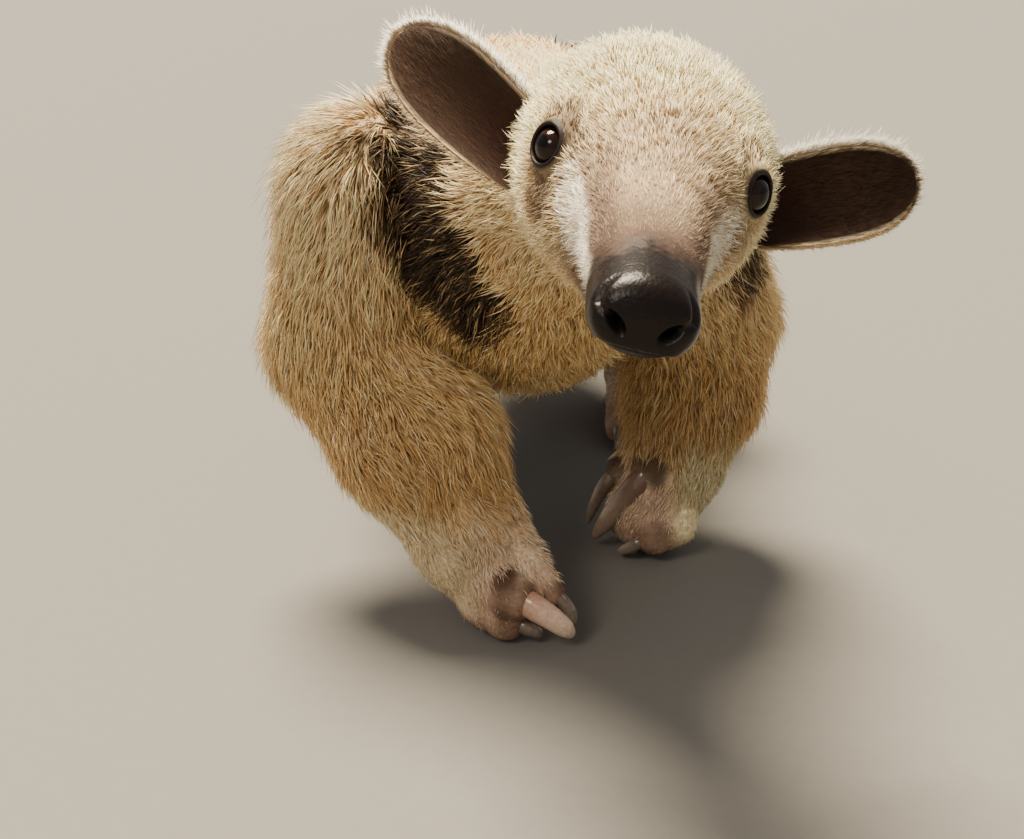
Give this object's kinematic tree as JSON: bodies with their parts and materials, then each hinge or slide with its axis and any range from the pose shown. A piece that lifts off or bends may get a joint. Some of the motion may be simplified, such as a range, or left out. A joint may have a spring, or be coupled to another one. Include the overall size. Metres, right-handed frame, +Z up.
{
  "type": "southern tamandua",
  "caption": "Southern tamandua, or lesser anteater, life size, as a still model in a slow walk with its head raised towards the viewer.",
  "frame": {"origin": "on the floor, under the middle of the animal's box", "axes": "+Z up, -Y the way the animal faces, +Y towards the tail, +X the animal's left side"},
  "size_m": [0.1964, 0.8972, 0.2013],
  "materials": {
    "coat": "short dense pale golden hair",
    "vest": "short dense blackish brown hair with pale tips",
    "ear": "thin dark skin with fine short hair and a pale rim",
    "eye": "wet gloss",
    "claw": "worn horn, brown to pinkish",
    "tail": "short hair at the base, bare blotched scaly skin towards the tip"
  },
  "bodies": {
    "root": {"head": "coat", "neck": "coat", "torso": "vest", "eye_left": "eye", "ear_left": "ear", "foreleg_left": "coat", "forefoot_left": "coat", "hindleg_left": "coat", "hindfoot_left": "coat", "claw_fore_left_1": "claw", "claw_fore_left_2": "claw", "claw_fore_left_3": "claw", "claw_fore_left_4": "claw", "claw_hind_left_1": "claw", "claw_hind_left_2": "claw", "claw_hind_left_3": "claw", "claw_hind_left_4": "claw", "claw_hind_left_5": "claw", "eye_right": "eye", "ear_right": "ear", "foreleg_right": "coat", "forefoot_right": "coat", "hindleg_right": "coat", "hindfoot_right": "coat", "claw_fore_right_1": "claw", "claw_fore_right_2": "claw", "claw_fore_right_3": "claw", "claw_fore_right_4": "claw", "claw_hind_right_1": "claw", "claw_hind_right_2": "claw", "claw_hind_right_3": "claw", "claw_hind_right_4": "claw", "claw_hind_right_5": "claw", "tail_base": "tail", "tail_middle": "tail", "tail_tip": "tail"}
  },
  "joints": []
}
